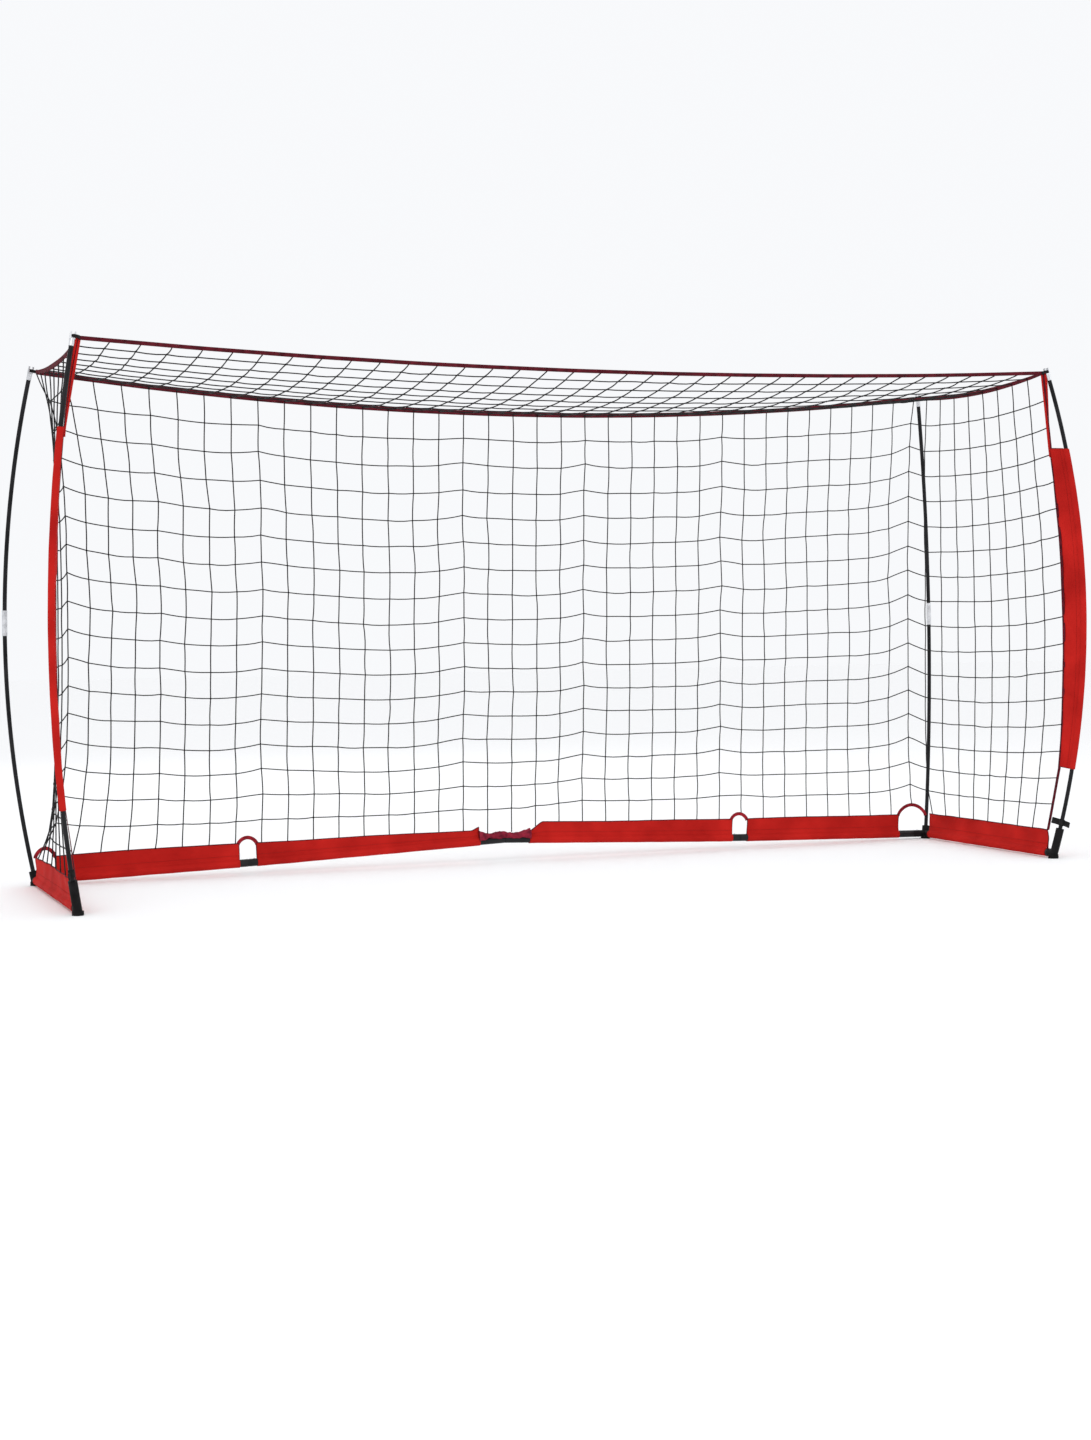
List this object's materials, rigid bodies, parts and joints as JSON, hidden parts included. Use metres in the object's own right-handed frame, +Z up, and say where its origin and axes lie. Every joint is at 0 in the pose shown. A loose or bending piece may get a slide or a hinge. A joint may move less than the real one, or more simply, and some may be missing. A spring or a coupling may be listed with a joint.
{
  "type": "portable goal with net",
  "caption": "Portable bow-style goal: bent poles stand in a push-fit ground frame and stretch a square-mesh net with sewn sleeves and straps.",
  "frame": {"origin": "on the ground, under the centre of the goal's outer box", "axes": "+X along the crossbar to the right as seen from the mouth, +Y to the rear, +Z up"},
  "size_m": [3.805, 1.1115, 1.8324],
  "materials": {
    "steel_tube": "satin",
    "moulded_black": "matte",
    "rivet": "satin",
    "pole": "satin",
    "ferrule": "satin",
    "red_fabric": "matte",
    "webbing": "matte",
    "elastic": "matte",
    "net": "matte"
  },
  "bodies": {
    "rear_left_inner": {"rear_tube_left_inner": "steel_tube", "coupling_spigot_left": "steel_tube", "coupling_spigot_centre": "steel_tube", "coupling_rivets_left": "rivet", "rear_ground_sleeve_left_inner": "red_fabric", "gap_arch_left": "webbing", "gap_arch_centre": "webbing", "net_rear": "net", "net_roof": "net", "crossbar_strap": "webbing", "rear_top_strap": "webbing"},
    "rear_left_outer": {"rear_tube_left_outer": "steel_tube", "rear_ground_sleeve_left_outer": "red_fabric"},
    "rear_right_inner": {"rear_tube_right_inner": "steel_tube", "coupling_spigot_right": "steel_tube", "coupling_rivets_right": "rivet", "rear_ground_sleeve_right_inner": "red_fabric", "gap_arch_right": "webbing"},
    "rear_right_outer": {"rear_tube_right_outer": "steel_tube", "rear_ground_sleeve_right_outer": "red_fabric"},
    "left_end": {"side_tube_left": "steel_tube", "corner_fitting_left": "moulded_black", "front_socket_left": "moulded_black", "fitting_rivets_left": "rivet", "side_ground_sleeve_left": "red_fabric", "pole_sleeve_left": "red_fabric", "net_side_left": "net", "side_webbing_left": "webbing", "pole_tie_left": "webbing", "corner_arch_left": "webbing"},
    "right_end": {"side_tube_right": "steel_tube", "corner_fitting_right": "moulded_black", "front_socket_right": "moulded_black", "fitting_rivets_right": "rivet", "side_ground_sleeve_right": "red_fabric", "pole_sleeve_right": "red_fabric", "net_side_right": "net", "side_webbing_right": "webbing", "pole_tie_right": "webbing", "corner_arch_right": "webbing"},
    "lower_pole_front_left": {"pole_lower_front_left": "pole", "pole_ferrule_front_left": "ferrule"},
    "upper_pole_front_left": {"pole_upper_front_left": "pole", "pole_tip_front_left": "ferrule", "corner_loop_front_left": "elastic"},
    "lower_pole_rear_left": {"pole_lower_rear_left": "pole", "pole_ferrule_rear_left": "ferrule"},
    "upper_pole_rear_left": {"pole_upper_rear_left": "pole", "pole_tip_rear_left": "ferrule", "corner_loop_rear_left": "elastic"},
    "lower_pole_front_right": {"pole_lower_front_right": "pole", "pole_ferrule_front_right": "ferrule"},
    "upper_pole_front_right": {"pole_upper_front_right": "pole", "pole_tip_front_right": "ferrule", "corner_loop_front_right": "elastic"},
    "lower_pole_rear_right": {"pole_lower_rear_right": "pole", "pole_ferrule_rear_right": "ferrule"},
    "upper_pole_rear_right": {"pole_upper_rear_right": "pole", "pole_tip_rear_right": "ferrule", "corner_loop_rear_right": "elastic"}
  },
  "joints": [
    {"name": "quarter_coupling_left", "type": "slide", "parent": "rear_left_inner", "child": "rear_left_outer", "axis": [-0.9996, 0, -0.0286], "range_m": [0, 0.075]},
    {"name": "corner_coupling_left", "type": "slide", "parent": "rear_left_outer", "child": "left_end", "axis": [-0.9996, 0, -0.0286], "range_m": [0, 0.075]},
    {"name": "centre_coupling", "type": "slide", "parent": "rear_left_inner", "child": "rear_right_inner", "axis": [0.9992, 0, -0.04], "range_m": [0, 0.075]},
    {"name": "quarter_coupling_right", "type": "slide", "parent": "rear_right_inner", "child": "rear_right_outer", "axis": [0.9997, 0, -0.0256], "range_m": [0, 0.075]},
    {"name": "corner_coupling_right", "type": "slide", "parent": "rear_right_outer", "child": "right_end", "axis": [0.9997, 0, -0.0256], "range_m": [0, 0.075]},
    {"name": "front_pole_lift_left", "type": "hinge", "parent": "left_end", "child": "lower_pole_front_left", "pos_m": [0.49307, 1.839, 0.88795], "axis": [-0.7071, 0.7071, 0.0097], "range_deg": [0, 1.53]},
    {"name": "front_ferrule_pull_left", "type": "hinge", "parent": "lower_pole_front_left", "child": "upper_pole_front_left", "pos_m": [0.49307, 1.839, 0.88795], "axis": [-0.7071, 0.7071, 0.0097], "range_deg": [0, 0.765]},
    {"name": "rear_pole_lift_left", "type": "hinge", "parent": "left_end", "child": "lower_pole_rear_left", "pos_m": [0.49307, -1.839, 0.88795], "axis": [0.7071, 0.7071, -0.0097], "range_deg": [0, 0.51]},
    {"name": "rear_ferrule_pull_left", "type": "hinge", "parent": "lower_pole_rear_left", "child": "upper_pole_rear_left", "pos_m": [0.49307, -1.839, 0.88795], "axis": [0.7071, 0.7071, -0.0097], "range_deg": [0, 0.765]},
    {"name": "front_pole_lift_right", "type": "hinge", "parent": "right_end", "child": "lower_pole_front_right", "pos_m": [-0.49307, 1.839, 0.88795], "axis": [-0.7071, -0.7071, -0.0097], "range_deg": [0, 1.53]},
    {"name": "front_ferrule_pull_right", "type": "hinge", "parent": "lower_pole_front_right", "child": "upper_pole_front_right", "pos_m": [-0.49307, 1.839, 0.88795], "axis": [-0.7071, -0.7071, -0.0097], "range_deg": [0, 0.765]},
    {"name": "rear_pole_lift_right", "type": "hinge", "parent": "right_end", "child": "lower_pole_rear_right", "pos_m": [-0.49307, -1.839, 0.88795], "axis": [0.7071, -0.7071, 0.0097], "range_deg": [0, 0.51]},
    {"name": "rear_ferrule_pull_right", "type": "hinge", "parent": "lower_pole_rear_right", "child": "upper_pole_rear_right", "pos_m": [-0.49307, -1.839, 0.88795], "axis": [0.7071, -0.7071, 0.0097], "range_deg": [0, 0.765]}
  ]
}
